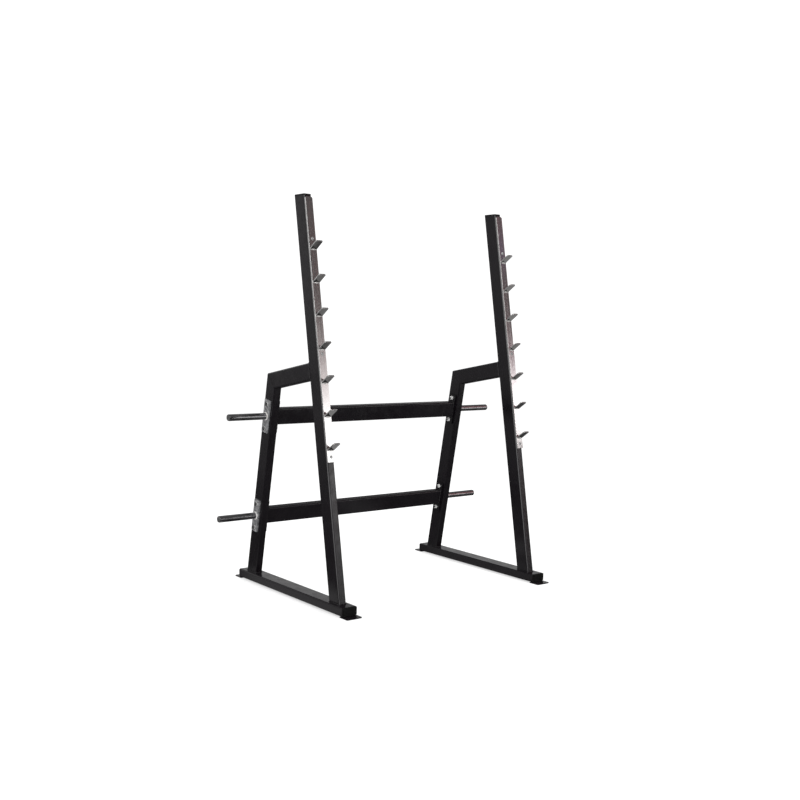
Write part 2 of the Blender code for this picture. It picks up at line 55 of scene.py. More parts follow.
# Hook rail and hooks
RAIL_WIDTH = 0.038
RAIL_THICKNESS = 0.008
RAIL_CORNER = 0.008
RAIL_EDGE = 0.0008
RAIL_TOP_DROP = 0.015
RAIL_TAIL = 0.052
HOOK_COUNT = 7
HOOK_PITCH = 0.150
HOOK_WIDTH = 0.036
HOOK_THICKNESS = 0.006
HOOK_REACH = 0.056
HOOK_RISE = radians(23.5)
HOOK_TIP_CORNER = 0.005
HOOK_EDGE = 0.0011
FIRST_HOOK_DROP = 0.254

# Weight pegs, the plugs in their ends, and their plates
PEG_RADIUS = 0.016
PEG_WALL = 0.0032
PEG_LENGTH = 0.203
PEG_CAP = 0.003
PEG_EDGE = 0.0005
PEG_BORE = 0.030
PEG_SINK = 0.001
PLUG_RADIUS = PEG_RADIUS - 0.0014
PLUG_EDGE = 0.0010
PLUG_RIM = 0.0035
PLUG_DISH = 0.0006
PLUG_STEM_INSET = PEG_WALL - 0.0010
PLUG_STEM = 0.016
PLATE_LENGTH = 0.160
PLATE_WIDTH = 0.050
PLATE_THICKNESS = 0.008
PLATE_CORNER = 0.004
PLATE_EDGE = 0.0007

# Through-bolts
BOLT_OFFSETS = {"top": 0.060, "bottom": -0.060}
BOLT_TURNS = {"top": radians(57), "bottom": radians(-23)}
BOLT_RADIUS = 0.005
BOLT_ACROSS = 0.016
BOLT_HEAD = 0.0064
BOLT_NUT = 0.0084
BOLT_TIP = 0.004
BOLT_CHAMFER = 0.0014
BOLT_EDGE = 0.0003
THREAD_STEP = 0.0006
THREAD_ROOT = 0.88
WASHER_RADIUS = 0.010
WASHER_THICKNESS = 0.002

# Rail screws
SCREW_RADIUS = 0.004
SCREW_HEAD_RADIUS = 0.0075
SCREW_HEAD = 0.0045
SCREW_GRIP = 0.010
SCREW_EDGE = 0.00015
SOCKET_RADIUS = 0.0024
SOCKET_DEPTH = 0.0016
TOP_SCREW_RISE = 0.048
MIDDLE_SCREW_DROP = 0.019
BOTTOM_SCREW_DROP = 0.028

# Weld beads: their radii, how far they lie off the faces they join, how far a hook's fillet sinks
# into its corner, and how densely a bead is drawn. A ripple has its height, length and phase.
FRAME_BEAD = 0.0022
LINK_BEAD = 0.0026
HOOK_BEAD = 0.0045
PEG_BEAD = 0.0032
BEAD_RISE = 0.0004
BEAD_SPREAD = 0.001
PEG_BEAD_RISE = 0.0006
HOOK_BEAD_SINK = 0.0012
BEAD_SPACING = 0.0007
BEAD_RIPPLES = ((0.10, 0.0028, 0.0), (0.06, 0.0173, 1.0))

SIDES = {"left": -1, "right": 1}
UPRIGHT_LENGTH = (TOP - BASE_TOP) / cos(FRONT_LEAN)

# The floor: its size, how white it is and how much it glows by itself
FLOOR_SIZE = 60
FLOOR_WHITE = 0.45
FLOOR_GLOW = 0.55

# What gloss mirrors of the floor near the rack and far from it, of its lit patches, and of the walls.
# Each patch has its centre, its reach along X and Y, and its strength. It fades between two parts of
# its reach.
FLOOR_NEAR = 0.055
FLOOR_FAR = 0.17
FLOOR_FADE = (1.5, 7.0)
PATCH_FADE = (1.3, 0.7)
FLOOR_PATCHES = (
    ((2.2, 0.36), (0.5, 0.40), 0.24),
    ((0.0, 0.20), (0.22, 0.20), 0.24),
    ((3.0, -4.4), (4.2, 1.95), 1.4),
    ((-0.72, 0.0), (0.12, 0.55), 0.30),
    ((0.42, 0.0), (0.13, 0.55), 0.18),
)
WALL = 0.12
ROOM_LIGHT = 1.15

# Brighter parts of the room that gloss mirrors. Each has the compass way it lies in, in degrees from
# -Y towards +X, the half widths in degrees where it is full and where it ends, and its strength by
# height in degrees above the horizon.
ROOM_PARTS = (
    (36, 2.5, 5.3, ((-4, (0.4, 0.4, 0.4)), (2, (0.9, 0.9, 0.9)), (5, (1.5, 1.5, 1.5)),
                    (8, (2.2, 2.2, 2.2)), (8.6, (3.6, 3.6, 3.6)), (12.2, (2.4, 2.4, 2.4)),
                    (13.2, (1.25, 1.12, 1.12)), (15.0, (0.52, 0.46, 0.46)), (16.6, (0.10, 0.08, 0.08)),
                    (18.0, (0, 0, 0)))),
    (48.5, 4.7, 6.3, ((8.6, (0, 0, 0)), (9.2, (3.6, 3.6, 3.6)), (11.2, (3.4, 3.3, 3.4)),
                      (12.0, (1.0, 0.88, 0.90)), (12.7, (0.34, 0.20, 0.24)), (13.8, (0.14, 0.10, 0.11)),
                      (15.0, (0, 0, 0)))),
    (47, 2, 7, ((18.1, (0, 0, 0)), (18.5, (0.12, 0.10, 0.22)), (18.9, (0.12, 0.10, 0.22)),
                (19.3, (0, 0, 0)))),
    (40.8, 1.4, 3.2, ((2, (0, 0, 0)), (5, (0.30, 0.0, 0.0)), (22, (0.30, 0.0, 0.0)),
                      (26, (0, 0, 0)))),
    (55, 5, 9, ((16, (0, 0, 0)), (21, (0.18, 0.0, 0.01)), (38, (0.18, 0.0, 0.01)), (46, (0, 0, 0)))),
    (-50, 28, 42, ((-4, (0.4, 0.4, 0.4)), (1, (3.0, 3.0, 3.0)), (30, (3.0, 3.0, 3.0)),
                   (50, (0.1, 0.1, 0.1)))),
    (-140, 30, 60, ((-14, (0, 0, 0)), (-8, (0.15, 0.15, 0.15)), (30, (0.15, 0.15, 0.15)),
                    (40, (0, 0, 0)))),
    (142, 14, 42, ((4, (0, 0, 0)), (11, (0.45, 0.45, 0.45)), (14, (0.45, 0.45, 0.45)),
                   (24, (0, 0, 0)))),
    (92, 22, 38, ((-8, (0.2, 0.2, 0.2)), (0, (0.7, 0.7, 0.7)), (18, (0.7, 0.7, 0.7)),
                  (30, (0, 0, 0)))),
    (190, 12, 22, ((-8, (0.2, 0.2, 0.2)), (0, (0.7, 0.7, 0.7)), (18, (0.7, 0.7, 0.7)),
                   (30, (0, 0, 0)))),
    (180, 55, 88, ((46, (0, 0, 0)), (54, (0.2, 0.2, 0.2)), (80, (0.2, 0.2, 0.2)), (88, (0, 0, 0)))),
)

# The photograph's camera: its place, the way it looks, how far it looks down, its roll and its lens
CAMERA_PLACE = (-3.2333, -4.1656, 1.2834)
CAMERA_WAY = radians(-38.08)
CAMERA_DIP = radians(6.03)
CAMERA_ROLL = radians(1.289)
CAMERA_LENS = 48.08
CAMERA_SHIFT = 0.0451

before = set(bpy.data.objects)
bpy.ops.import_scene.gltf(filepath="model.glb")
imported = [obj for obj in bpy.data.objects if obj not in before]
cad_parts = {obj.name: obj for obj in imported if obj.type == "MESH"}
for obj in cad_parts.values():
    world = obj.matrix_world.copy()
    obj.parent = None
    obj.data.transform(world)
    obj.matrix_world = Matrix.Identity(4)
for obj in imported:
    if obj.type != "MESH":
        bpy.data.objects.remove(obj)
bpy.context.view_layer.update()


# Selecting and finishing by hand

def only(piece):
    """Make one piece the selected and active one, in object mode."""
    bpy.ops.object.select_all(action="DESELECT")
    piece.select_set(True)
    bpy.context.view_layer.objects.active = piece


def pick(kind, test):
    """Select the parts of the active piece that pass a test, and stay in edit mode."""
    bpy.ops.object.mode_set(mode="EDIT")
    bpy.ops.mesh.select_mode(type=kind)
    bpy.ops.mesh.select_all(action="DESELECT")
    bpy.ops.object.mode_set(mode="OBJECT")
    mesh = bpy.context.object.data
    for item in {"VERT": mesh.vertices, "EDGE": mesh.edges, "FACE": mesh.polygons}[kind]:
        item.select = test(mesh, item)
    bpy.ops.object.mode_set(mode="EDIT")


def faces(axis, sign):
    """Test for faces that look along one axis."""
    return lambda mesh, face: face.normal[axis] * sign > 0.999


def edges(axis, place=lambda point: True):
    """Test for edges that run along one axis, at places that pass a test of their own."""
    def test(mesh, edge):
        a, b = (mesh.vertices[index].co for index in edge.vertices)
        return abs((b - a).normalized()[axis]) > 0.999 and place((a + b) / 2)
    return test


def done():
    """Leave edit mode."""
    bpy.ops.object.mode_set(mode="OBJECT")


def block(size, centre):
    """Add a block of the given size."""
    bpy.ops.object.select_all(action="DESELECT")
    bpy.ops.mesh.primitive_cube_add(size=1, location=centre, scale=size)
    bpy.ops.object.transform_apply(location=True, rotation=False, scale=True)
    return bpy.context.object


def rod(sides, radius, low, high):
    """Add a closed cylinder round Z from one height to another."""
    bpy.ops.object.select_all(action="DESELECT")
    bpy.ops.mesh.primitive_cylinder_add(vertices=sides, radius=radius, depth=high - low,
                                        location=(0, 0, (low + high) / 2))
    bpy.ops.object.transform_apply(location=True, rotation=False, scale=False)
    return bpy.context.object


def bevel(offset, segments):
    """Round what is selected in edit mode."""
    bpy.ops.mesh.bevel(offset=offset, segments=segments, profile=0.5, clamp_overlap=True)


def apply_modifier(piece, name, kind, **settings):
    """Add a modifier to a piece and apply it."""
    only(piece)
    modifier = piece.modifiers.new(name, kind)
    for key, value in settings.items():
        setattr(modifier, key, value)
    bpy.ops.object.modifier_apply(modifier=name)


def cut(piece, other, operation="DIFFERENCE"):
    """Cut a piece with another one, which is used up."""
    apply_modifier(piece, "Cut", "BOOLEAN", object=other, operation=operation, solver="EXACT")
    bpy.data.objects.remove(other, do_unlink=True)


def soften(piece, width, segments=2):
    """Take the sharpness off a piece's edges and shade it as one worked surface."""
    apply_modifier(piece, "Soft edges", "BEVEL", width=width, segments=segments,
                   limit_method="ANGLE", angle_limit=EDGE_ANGLE, harden_normals=True)
    only(piece)
    bpy.ops.object.shade_smooth_by_angle(angle=CREASE_ANGLE)
    apply_modifier(piece, "Flat faces", "WEIGHTED_NORMAL", keep_sharp=True, weight=80)


def join(*pieces):
    """Join pieces into the first one."""
    bpy.ops.object.select_all(action="DESELECT")
    for piece in pieces:
        piece.select_set(True)
    bpy.context.view_layer.objects.active = pieces[0]
    bpy.ops.object.join()
    return pieces[0]


def hand_over(piece, name, finish, slot, *nodes):
    """Name a finished piece, give it a finish unless it has its own, and let it replace nodes."""
    piece.name = name
    piece.data.name = name
    if finish:
        piece.data.materials.clear()
        piece.data.materials.append(finish)
    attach(piece, "root")
    if nodes:
        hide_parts(*nodes)


def set_out(pattern, name, place, finish, slot, *nodes):
    """Copy a pattern piece to its place, each copy with its own mesh."""
    mesh = pattern.data.copy()
    mesh.transform(place)
    piece = bpy.data.objects.new(name, mesh)
    bpy.context.scene.collection.objects.link(piece)
    hand_over(piece, name, finish, slot, *nodes)
    return piece


def finish_rest(piece, finish, facing):
    """Give a second finish to the faces of a piece that look neither one way nor the opposite way."""
    piece.data.materials.append(finish)
    for face in piece.data.polygons:
        if abs(face.normal.dot(facing)) < 0.9:
            face.material_index = 1


def dress(node, finish, slot, width):
    """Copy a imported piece, merge its triangles, soften its edges and let it take the node's place."""
    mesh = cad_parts[node].data.copy()
    piece = bpy.data.objects.new(f"{node}_worked", mesh)
    bpy.context.scene.collection.objects.link(piece)
    only(piece)
    if mesh.has_custom_normals:
        bpy.ops.mesh.customdata_custom_splitnormals_clear()
    bpy.ops.object.mode_set(mode="EDIT")
    bpy.ops.mesh.select_all(action="SELECT")
    bpy.ops.mesh.remove_doubles(threshold=0.00001)
    bpy.ops.mesh.dissolve_limited(angle_limit=radians(1))
    done()
    soften(piece, width)
    hand_over(piece, piece.name, finish, slot, node)


# Places on the leaning frames

def front_place(side):
    """Place on the front face of a front upright at the top of the base, Z along the upright."""
    return (Matrix.Translation((SIDES[side] * FRAME_CENTRE, FRONT_FACE_Y, BASE_TOP))
            @ Matrix.Rotation(-FRONT_LEAN, 4, "X"))


def rear_place(side):
    """Place on the rear face of a rear upright at the top of the base, Z along the upright."""
    return (Matrix.Translation((SIDES[side] * FRAME_CENTRE, REAR_FACE_Y, BASE_TOP))
            @ Matrix.Rotation(REAR_LEAN, 4, "X"))


def joint_place(side, level):
    """Place on the middle of a rear upright at a beam's height."""
    middle = rear_place(side) @ Matrix.Translation((0, -TUBE_DEPTH / 2, 0))
    climb = (BEAM_HEIGHTS[level] - middle.translation.z) / cos(REAR_LEAN)
    return middle @ Matrix.Translation((0, 0, climb))


def sideways(sense):
    """Turn that lays Z along X, in the sense given."""
    return Matrix.Rotation(sense * pi / 2, 4, "Y")


def hook_height(index):
    """Height of a hook's underside along the upright, counted from the top hook."""
    return UPRIGHT_LENGTH - FIRST_HOOK_DROP - index * HOOK_PITCH


# Finishes

class Finish:
    """A procedural material, put together from a few kinds of node."""

    def __init__(self, name, colour, roughness, metallic=0.0):
        self.material = bpy.data.materials.new(name)
        self.material.use_nodes = True
        self.material.diffuse_color = (*colour, 1.0)
        self.tree = self.material.node_tree
        self.shader = self.tree.nodes["Principled BSDF"]
        self.shader.inputs["Base Color"].default_value = (*colour, 1.0)
        self.shader.inputs["Roughness"].default_value = roughness
        self.shader.inputs["Metallic"].default_value = metallic
        self.place = self.node("ShaderNodeTexCoord").outputs["Object"]
        self.normal = None

    def node(self, kind, links=(), **values):
        """Add a node, set its inputs by name and link others to it."""
        made = self.tree.nodes.new(kind)
        for key, value in values.items():
            made.inputs[key.replace("_", " ")].default_value = value
        for key, source in dict(links).items():
            self.tree.links.new(source, made.inputs[key])
        return made

    def stretched(self, scale, lean=0.0):
        """Object coordinates turned by a lean about X and scaled along each axis."""
        mapping = self.node("ShaderNodeMapping", {"Vector": self.place})
        mapping.inputs["Rotation"].default_value = (lean, 0, 0)
        turned = mapping.outputs["Vector"]
        squeezed = self.node("ShaderNodeVectorMath", {0: turned})
        squeezed.operation = "MULTIPLY"
        squeezed.inputs[1].default_value = scale
        return squeezed.outputs["Vector"]

    def noise(self, scale, detail=2.0, rough=0.5, place=None):
        """Noise over the surface, in waves a metre."""
        made = self.node("ShaderNodeTexNoise", {"Vector": place or self.place},
                         Scale=scale, Detail=detail, Roughness=rough)
        return made.outputs["Fac"]

    def spread(self, source, low, high, start=0.35, end=0.65):
        """Stretch a noise to run from one value to another."""
        made = self.node("ShaderNodeMapRange", {"Value": source}, From_Min=start, From_Max=end,
                         To_Min=low, To_Max=high)
        return made.outputs["Result"]

    def blend(self, source, first, second, start=0.35, end=0.65):
        """Blend between two colours by a noise."""
        made = self.tree.nodes.new("ShaderNodeMix")
        made.data_type = "RGBA"
        self.tree.links.new(self.spread(source, 0.0, 1.0, start, end), made.inputs["Factor"])
        colours = [socket for socket in made.inputs if socket.type == "RGBA"]
        for socket, colour in zip(colours, (first, second)):
            if hasattr(colour, "links"):
                self.tree.links.new(colour, socket)
            else:
                socket.default_value = (*colour, 1.0)
        return [socket for socket in made.outputs if socket.type == "RGBA"][0]

    def raise_by(self, source, distance, strength=1.0):
        """Add one more bump on top of those before it."""
        made = self.node("ShaderNodeBump", {"Height": source}, Strength=strength, Distance=distance)
        if self.normal:
            self.tree.links.new(self.normal, made.inputs["Normal"])
        self.normal = made.outputs["Normal"]
        self.tree.links.new(self.normal, self.shader.inputs["Normal"])

    def colour_from(self, source):
        """Feed the base colour."""
        self.tree.links.new(source, self.shader.inputs["Base Color"])

    def roughness_from(self, source):
        """Feed the roughness."""
        self.tree.links.new(source, self.shader.inputs["Roughness"])


def powder_coat():
    """Satin black powder coat: a fine orange peel, slight cloudiness and a few dull rubs."""
    finish = Finish("satin_black_powder_coat", (0.005, 0.005, 0.0055), 0.27)
    cloud = finish.noise(7.0, 3.0)
    finish.colour_from(finish.blend(cloud, (0.0046, 0.0036, 0.0048), (0.0066, 0.0052, 0.0068)))
    finish.roughness_from(finish.spread(finish.noise(26.0, 4.0, 0.6), 0.15, 0.24))
    finish.raise_by(finish.noise(520.0, 2.0), 0.00010, 0.5)
    finish.raise_by(finish.noise(2600.0, 1.0), 0.00002, 0.5)
    return finish.material


def brushed_steel(name, lean, colours=((0.52, 0.51, 0.51), (0.60, 0.59, 0.58))):
    """Stainless steel, brushed along the piece, with long fine scratches and faint smudges."""
    finish = Finish(name, colours[0], 0.28, 1.0)
    along = finish.stretched((2600.0, 2600.0, 14.0), lean)
    broad = finish.stretched((420.0, 420.0, 3.0), lean)
    lines = finish.noise(1.0, 3.0, 0.6, along)
    bands = finish.noise(1.0, 2.0, 0.5, broad)
    finish.colour_from(finish.blend(bands, *colours))
    finish.roughness_from(finish.spread(bands, 0.09, 0.15))
    finish.raise_by(lines, 0.00003, 0.6)
    finish.raise_by(finish.noise(60.0, 3.0), 0.00015, 0.25)
    return finish.material


def cut_edge_and_highlight():
    """Cut edges of the rails and hooks: a rougher steel with fine saw marks across it, lighter than the
    faces as a painted highlight.
    """
    finish = Finish("sawn_steel_edge_and_painted_highlight", (0.76, 0.75, 0.74), 0.36, 1.0)
    marks = finish.noise(900.0, 3.0, 0.6)
    # The light colour is a painted highlight along the sides. The saw marks and roughness belong to the
    # edge itself.
    finish.colour_from(finish.blend(finish.noise(70.0, 3.0), (0.68, 0.67, 0.66), (0.82, 0.81, 0.80)))
    finish.roughness_from(finish.spread(marks, 0.30, 0.44))
    finish.raise_by(marks, 0.00005, 0.6)
    return finish.material


def drawn_steel():
    """Plated peg tube: smooth, with drawing lines along X and dull patches where plates slide."""
    finish = Finish("plated_drawn_steel", (0.42, 0.42, 0.43), 0.15, 1.0)
    lines = finish.noise(1.0, 3.0, 0.6, finish.stretched((10.0, 2200.0, 2200.0)))
    patch = finish.noise(34.0, 4.0, 0.6)
    finish.colour_from(finish.blend(patch, (0.36, 0.36, 0.37), (0.47, 0.46, 0.47)))
    finish.roughness_from(finish.spread(patch, 0.08, 0.17))
    finish.raise_by(lines, 0.00002, 0.5)
    return finish.material


def galvanised(name, dark, light):
    """Zinc-coated plate: crystals a few millimetres across over a dull mottled ground."""
    finish = Finish(name, dark, 0.45, 0.35)
    crystals = finish.node("ShaderNodeTexVoronoi", {"Vector": finish.place}, Scale=230.0)
    tone = crystals.outputs["Color"]
    grey = finish.node("ShaderNodeSeparateColor", {"Color": tone}).outputs["Red"]
    mottle = finish.noise(90.0, 5.0, 0.65)
    ground = finish.blend(mottle, dark, light, 0.38, 0.66)
    finish.colour_from(finish.blend(grey, ground, light, 0.2, 2.2))
    finish.roughness_from(finish.spread(grey, 0.34, 0.56, 0.0, 1.0))
    finish.raise_by(mottle, 0.00025, 0.5)
    return finish.material


def zinc():
    """Dull bright zinc on washers and nuts, a little stained in places."""
    finish = Finish("bright_zinc", (0.80, 0.80, 0.80), 0.45, 0.35)
    stain = finish.noise(240.0, 4.0, 0.6)
    finish.colour_from(finish.blend(stain, (0.90, 0.90, 0.90), (0.72, 0.72, 0.70)))
    finish.roughness_from(finish.spread(stain, 0.38, 0.55))
    finish.raise_by(finish.noise(1500.0, 2.0), 0.00003, 0.5)
    return finish.material


def dark_bolt():
    """Oiled steel of bolt heads and threads, lighter where tools have rubbed it."""
    finish = Finish("oiled_bolt", (0.20, 0.20, 0.20), 0.32, 1.0)
    rub = finish.noise(420.0, 4.0, 0.6)
    finish.colour_from(finish.blend(rub, (0.17, 0.17, 0.17), (0.34, 0.34, 0.34), 0.45, 0.7))
    finish.roughness_from(finish.spread(rub, 0.26, 0.42))
    finish.raise_by(finish.noise(1500.0, 2.0), 0.00003, 0.5)
    return finish.material


def moulded_plastic(name, dark, light):
    """Cap plastic with a fine moulded grain and little gloss."""
    finish = Finish(name, dark, 0.5)
    finish.shader.inputs["Specular IOR Level"].default_value = 0.25
    grain = finish.noise(1700.0, 2.0)
    finish.colour_from(finish.blend(finish.noise(40.0, 3.0), dark, light))
    finish.roughness_from(finish.spread(grain, 0.42, 0.6))
    finish.raise_by(grain, 0.00008, 0.6)
    return finish.material


def tinted_weld_and_highlight():
    """Weld metal with a straw and blue heat tint in places, near-white as a painted highlight."""
    finish = Finish("tinted_weld_and_painted_highlight", (0.80, 0.79, 0.77), 0.36, 0.3)
    heat = finish.noise(130.0, 3.0)
    # The near-white colour is a painted highlight on the bead. The straw and blue heat tint belongs to
    # the weld itself.
    tint = finish.blend(heat, (0.88, 0.87, 0.85), (0.60, 0.52, 0.42), 0.52, 0.78)
    finish.colour_from(finish.blend(finish.noise(95.0, 2.0), tint, (0.26, 0.28, 0.36), 0.58, 0.8))
    finish.roughness_from(finish.spread(heat, 0.22, 0.42))
    finish.raise_by(finish.noise(1200.0, 2.0), 0.00008, 0.5)
    return finish.material


def scaled_weld_and_highlight():
    """Weld metal left as it cooled under the hooks: matt, with fine scale, light grey as a painted
    highlight.
    """
    finish = Finish("matt_weld_and_painted_highlight", (0.72, 0.71, 0.69), 0.45, 0.6)
    scale = finish.noise(420.0, 3.0, 0.6)
    # The light grey is a painted highlight along the fillet. The fine scale belongs to the weld itself.
    finish.colour_from(finish.blend(scale, (0.62, 0.61, 0.60), (0.80, 0.79, 0.77)))
    finish.roughness_from(finish.spread(scale, 0.36, 0.55))
    finish.raise_by(finish.noise(1400.0, 2.0), 0.00008, 0.6)
    return finish.material


coat = powder_coat()
rail_steel = brushed_steel("brushed_rail_steel", FRONT_LEAN)
hook_steel = brushed_steel("brushed_hook_steel", FRONT_LEAN + pi / 2 - HOOK_RISE)
cut_steel_and_highlight = cut_edge_and_highlight()
peg_steel = drawn_steel()
plate_zinc = galvanised("galvanised_peg_plate", (0.08, 0.08, 0.083), (0.40, 0.40, 0.41))
screw_zinc = galvanised("dulled_screw_zinc", (0.28, 0.28, 0.28), (0.42, 0.42, 0.42))
fastener_zinc = zinc()
bolt_steel = dark_bolt()
cap_plastic = moulded_plastic("moulded_black_plastic", (0.0025,) * 3, (0.0045,) * 3)
plug_plastic = moulded_plastic("moulded_grey_plastic", (0.060,) * 3, (0.095,) * 3)
weld_steel_and_highlight = tinted_weld_and_highlight()
fillet_steel_and_highlight = scaled_weld_and_highlight()


# Tubes, caps and foot plates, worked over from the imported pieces

def work_frames():
    """Soften the tubes, caps and foot plates of the frames and the two crossbeams."""
    for side in SIDES:
        for piece in ("base_tube", "front_upright", "rear_upright", "link_tube"):
            dress(f"{piece}_{side}", coat, "black_powder_coat", TUBE_EDGE)
        for end in ("front", "rear"):
            dress(f"foot_plate_{end}_{side}", coat, "black_powder_coat", FOOT_EDGE)
            dress(f"base_cap_{end}_{side}", cap_plastic, "black_plastic", CAP_EDGE)
        dress(f"upright_cap_{side}", cap_plastic, "black_plastic", CAP_EDGE)
    for level in BEAM_HEIGHTS:
        dress(f"crossbeam_{level}", coat, "black_powder_coat", TUBE_EDGE)


# Hook rails and hooks

def saw_rail():
    """Shape the flat bar of a hook rail, its face on -Y and its lower end at the height it has."""
    low = hook_height(HOOK_COUNT - 1) - RAIL_TAIL
    high = UPRIGHT_LENGTH - RAIL_TOP_DROP
    rail = block((RAIL_WIDTH, RAIL_THICKNESS, high - low), (0, -RAIL_THICKNESS / 2, (low + high) / 2))
    pick("EDGE", edges(1, lambda point: point.z > low + 0.1))
    bevel(RAIL_CORNER, 8)
    done()
    soften(rail, RAIL_EDGE, 3)
    return rail


def forge_hook():
    """Shape a hook: a plate that rises from its root on the rail, with rounded free edges."""
    length = HOOK_REACH / cos(HOOK_RISE)
    hook = block((HOOK_WIDTH, 1.2 * length, HOOK_THICKNESS), (0, -0.4 * length, HOOK_THICKNESS / 2))
    bpy.ops.object.mode_set(mode="EDIT")
    bpy.ops.mesh.select_all(action="SELECT")
    bpy.ops.mesh.bisect(plane_co=(0, 0, 0), plane_no=(0, cos(HOOK_RISE), sin(HOOK_RISE)),
                        use_fill=True, clear_outer=True)
    done()
    pick("EDGE", edges(2, lambda point: point.y < -0.9 * length))
    bevel(HOOK_TIP_CORNER, 6)
    done()
    soften(hook, HOOK_EDGE, 3)
    return hook


def make_rails_and_hooks():
    """Set out both rails with their seven hooks each."""
    rail = saw_rail()
    hook = forge_hook()
    root = GAP + RAIL_THICKNESS + GAP
    for side in SIDES:
        face = front_place(side)
        bar = set_out(rail, f"rail_bar_{side}", face @ Matrix.Translation((0, -GAP, 0)),
                      rail_steel, "brushed_steel", f"hook_rail_{side}")
        front = face.to_3x3() @ Vector((0, -1, 0))
        # The sides of the bar and of each hook take the sawn steel, which is lighter as a painted
        # highlight.
        finish_rest(bar, cut_steel_and_highlight, front)
        for index in range(HOOK_COUNT):
            seat = face @ Matrix.Translation((0, -root, hook_height(index)))
            place = seat @ Matrix.Rotation(-HOOK_RISE, 4, "X")
            plate = set_out(hook, f"rounded_hook_{index + 1}_{side}", place, hook_steel,
                            "brushed_steel", f"hook_{index + 1}_{side}")
            finish_rest(plate, cut_steel_and_highlight, place.to_3x3() @ Vector((0, 0, 1)))
    bpy.data.objects.remove(rail, do_unlink=True)
    bpy.data.objects.remove(hook, do_unlink=True)


def turn_rail_screw():
    """Shape a button head screw with a hexagon socket, its head standing on z = 0."""
    ball = (SCREW_HEAD_RADIUS ** 2 + SCREW_HEAD ** 2) / (2 * SCREW_HEAD)
    bpy.ops.object.select_all(action="DESELECT")
    bpy.ops.mesh.primitive_uv_sphere_add(segments=40, ring_count=40, radius=ball,
                                         location=(0, 0, SCREW_HEAD - ball))
    bpy.ops.object.transform_apply(location=True, rotation=False, scale=False)
    head = bpy.context.object
    bpy.ops.object.mode_set(mode="EDIT")
    bpy.ops.mesh.select_all(action="SELECT")
    bpy.ops.mesh.bisect(plane_co=(0, 0, 0), plane_no=(0, 0, 1), use_fill=True, clear_inner=True)
    done()
    cut(head, rod(6, SOCKET_RADIUS, SCREW_HEAD - SOCKET_DEPTH, SCREW_HEAD + 0.002))
    soften(head, SCREW_EDGE)
    shank = rod(24, SCREW_RADIUS, -(RAIL_THICKNESS + TUBE_WALL + SCREW_GRIP), 0.0002)
    only(shank)
    bpy.ops.object.shade_smooth_by_angle(angle=CREASE_ANGLE)
    return join(head, shank)


def make_rail_screws():
    """Set three screws in each rail."""
    screw = turn_rail_screw()
    heights = {"top": hook_height(0) + TOP_SCREW_RISE,
               "middle": hook_height(HOOK_COUNT // 2) - MIDDLE_SCREW_DROP,
               "bottom": hook_height(HOOK_COUNT - 1) - BOTTOM_SCREW_DROP}
    for side in SIDES:
        for label, height in heights.items():
            place = (front_place(side) @ Matrix.Translation((0, -RAIL_THICKNESS - 2 * GAP, height))
                     @ Matrix.Rotation(pi / 2, 4, "X"))
            set_out(screw, f"button_screw_{label}_{side}", place, screw_zinc, "zinc_fastener",
                    f"rail_screw_{label}_{side}")
    bpy.data.objects.remove(screw, do_unlink=True)


# Weight pegs

def cut_peg_plate():
    """Shape the plate of a peg, from z = 0 up, with rounded corners and sawn edges."""
    plate = block((PLATE_LENGTH, PLATE_WIDTH, PLATE_THICKNESS), (0, 0, PLATE_THICKNESS / 2))
    pick("EDGE", edges(2))
    bevel(PLATE_CORNER, 6)
    done()
    soften(plate, PLATE_EDGE)
    return plate


def draw_peg_tube():
    """Shape the tube of a peg, standing on its plate, with a bored end and a broken edge."""
    end = PLATE_THICKNESS + PEG_LENGTH - PEG_CAP - GAP
    tube = rod(64, PEG_RADIUS, PLATE_THICKNESS - PEG_SINK, end)
    pick("FACE", faces(2, 1))
    bpy.ops.mesh.inset(thickness=PEG_WALL)
    bpy.ops.mesh.extrude_region_move(TRANSFORM_OT_translate={"value": (0, 0, -PEG_BORE)})
    done()
    soften(tube, PEG_EDGE)
    return tube


def turn_peg_plug():
    """Shape the plastic plug in the end of a peg, its dished flange from z = 0 up, its stem below."""
    plug = rod(64, PLUG_RADIUS, 0, PEG_CAP)
    pick("FACE", faces(2, 1))
    bevel(PLUG_EDGE, 3)
    done()
    pick("FACE", faces(2, 1))
    bpy.ops.mesh.inset(thickness=PLUG_RIM)
    bpy.ops.mesh.extrude_region_move(TRANSFORM_OT_translate={"value": (0, 0, -PLUG_DISH)})
    done()
    pick("FACE", faces(2, -1))
    bpy.ops.mesh.inset(thickness=PLUG_STEM_INSET)
    bpy.ops.mesh.extrude_region_move(TRANSFORM_OT_translate={"value": (0, 0, -PLUG_STEM)})
    done()
    only(plug)
    bpy.ops.object.shade_smooth_by_angle(angle=CREASE_ANGLE)
    apply_modifier(plug, "Flat faces", "WEIGHTED_NORMAL", keep_sharp=True, weight=80)
    return plug


def make_pegs():
    """Set out the four pegs with their plates, tubes and plugs."""
    plate, tube, plug = cut_peg_plate(), draw_peg_tube(), turn_peg_plug()
    end = PLATE_THICKNESS + PEG_LENGTH - PEG_CAP
    for side, sense in SIDES.items():
        for level in BEAM_HEIGHTS:
            face = joint_place(side, level) @ Matrix.Translation((sense * (TUBE_WIDTH / 2 + GAP), 0, 0))
            place = face @ sideways(sense)
            node = f"weight_peg_{level}_{side}"
            set_out(plate, f"peg_plate_{level}_{side}", place, plate_zinc, "polished_steel", node)
            set_out(tube, f"peg_tube_{level}_{side}", place, peg_steel, "polished_steel", node)
            set_out(plug, f"peg_plug_{level}_{side}", place @ Matrix.Translation((0, 0, end)),
                    plug_plastic, "black_plastic", f"peg_cap_{level}_{side}")
    for pattern in (plate, tube, plug):
        bpy.data.objects.remove(pattern, do_unlink=True)


# Through-bolts

